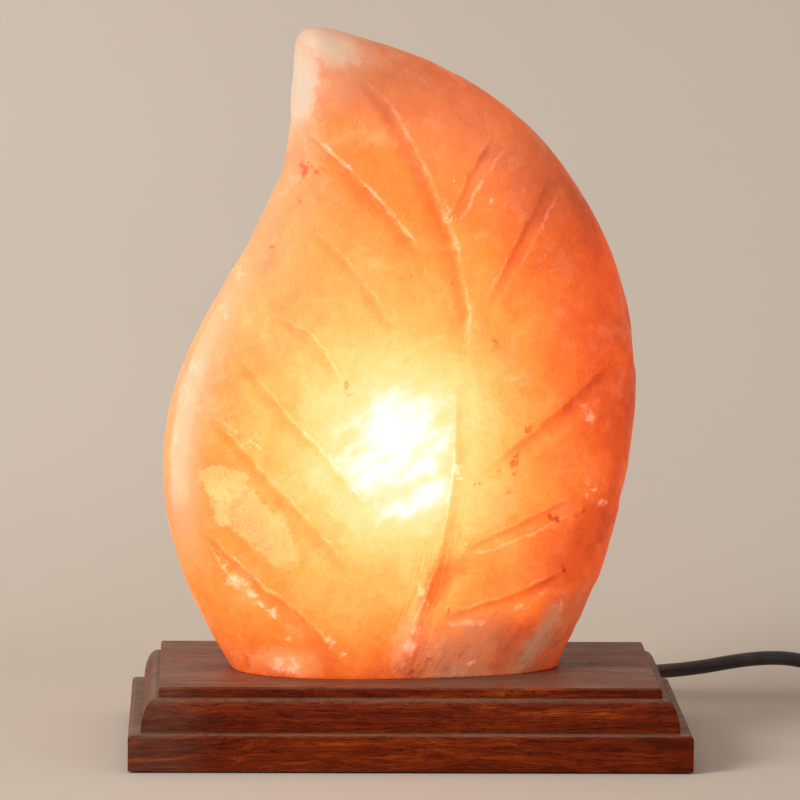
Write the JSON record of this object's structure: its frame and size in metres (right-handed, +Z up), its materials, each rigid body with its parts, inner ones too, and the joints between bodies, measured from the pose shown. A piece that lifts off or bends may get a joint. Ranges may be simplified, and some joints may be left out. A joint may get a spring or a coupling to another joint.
{
  "type": "salt crystal lamp",
  "caption": "Table lamp: a leaf-shaped carved rock salt block, lit from a bulb in its bore, on a moulded wooden plinth, with a corded in-line dimmer.",
  "frame": {"origin": "on the table, under the middle of the plinth, at the underside of its felt pads", "axes": "+Z up, +X along the plinth's long side to the viewer's right, -Y to the carved front"},
  "size_m": [0.3892, 0.1766, 0.2415],
  "materials": {
    "rock_salt": "carved, damp sheen, lit from inside",
    "stained_wood": "stained, satin lacquer",
    "dark_felt": "felt",
    "zinc_screw": "zinc plated",
    "nylon": "matt",
    "black_rubber": "satin",
    "black_cord": "satin",
    "black_tie": "woven",
    "brass": "drawn",
    "dimmer_plastic": "fine spark texture",
    "dial_plastic": "satin",
    "circuit_board": "solder mask",
    "component_grey": "matt",
    "component_black": "matt",
    "component_yellow": "gloss",
    "holder_plastic": "moulded, satin",
    "wire_sleeve": "satin",
    "spring_steel": "drawn",
    "clear_glass": "clear",
    "black_ceramic": "gloss",
    "solder": "dull",
    "nickel_wire": "drawn",
    "tungsten": "hot wire"
  },
  "bodies": {
    "lamp": {"plinth_board": "stained_wood", "felt_pads": "dark_felt", "salt_block": "rock_salt", "salt_screws": "zinc_screw", "salt_anchors": "nylon", "cord_grommet": "black_rubber", "inner_lead": "black_cord", "lamp_cord": "black_cord", "dimmer_base": "dimmer_plastic", "dimmer_cover": "dimmer_plastic", "dimmer_board": "circuit_board", "dimmer_potentiometer": "component_grey", "dimmer_triac": "component_black", "dimmer_capacitor": "component_yellow", "dimmer_screws": "zinc_screw", "dimmer_boots": "black_rubber", "mains_cord": "black_cord", "cord_coil": "black_cord", "coil_tie": "black_tie", "plug_lead": "black_cord", "plug_body": "black_rubber", "plug_blades": "brass"},
    "holder": {"socket_body": "holder_plastic", "socket_shell": "brass", "socket_contact": "brass", "terminal_plates": "brass", "terminal_screws": "brass", "socket_wires": "wire_sleeve", "socket_cap": "holder_plastic", "clip_bracket": "spring_steel", "clip_rivets": "spring_steel"},
    "clip_left": {"spring_clip_left": "spring_steel"},
    "clip_right": {"spring_clip_right": "spring_steel"},
    "bulb_foot": {"bulb_contact": "solder", "bulb_insulator": "black_ceramic"},
    "bulb": {"bulb_glass": "clear_glass", "bulb_shell": "brass", "bulb_stem": "clear_glass", "bulb_lead_wires": "nickel_wire", "bulb_filament": "tungsten"},
    "dial": {"dimmer_dial": "dial_plastic", "dimmer_spindle": "nylon"}
  },
  "joints": [
    {"name": "dimmer_dial_turn", "type": "hinge", "parent": "lamp", "child": "dial", "pos_m": [0.213, 0.09, 0.015], "axis": [0, 0, 1], "range_deg": [-270, 0]},
    {"name": "holder_draw", "type": "slide", "parent": "lamp", "child": "holder", "axis": [0, 0, -1], "range_m": [0, 0.125], "deforming": ["inner_lead"]},
    {"name": "clip_left_flex", "type": "hinge", "parent": "holder", "child": "clip_left", "pos_m": [-0.0156, 0, 0.0376], "axis": [0, 1, 0], "range_deg": [0, 6], "stiffness_Nm_per_rad": 0.05},
    {"name": "clip_right_flex", "type": "hinge", "parent": "holder", "child": "clip_right", "pos_m": [0.0156, 0, 0.0376], "axis": [0, -1, 0], "range_deg": [0, 6], "stiffness_Nm_per_rad": 0.05},
    {"name": "bulb_lift", "type": "slide", "parent": "holder", "child": "bulb_foot", "axis": [0, 0, 1], "range_m": [0, 0.00762]},
    {"name": "bulb_turn", "type": "hinge", "parent": "bulb_foot", "child": "bulb", "pos_m": [0, 0, 0.08], "axis": [0, 0, 1], "range_deg": [0, 1080]}
  ],
  "couplings": [
    {"joint": "bulb_lift", "follows": "bulb_turn", "m_per_rad": 0.00040425}
  ]
}
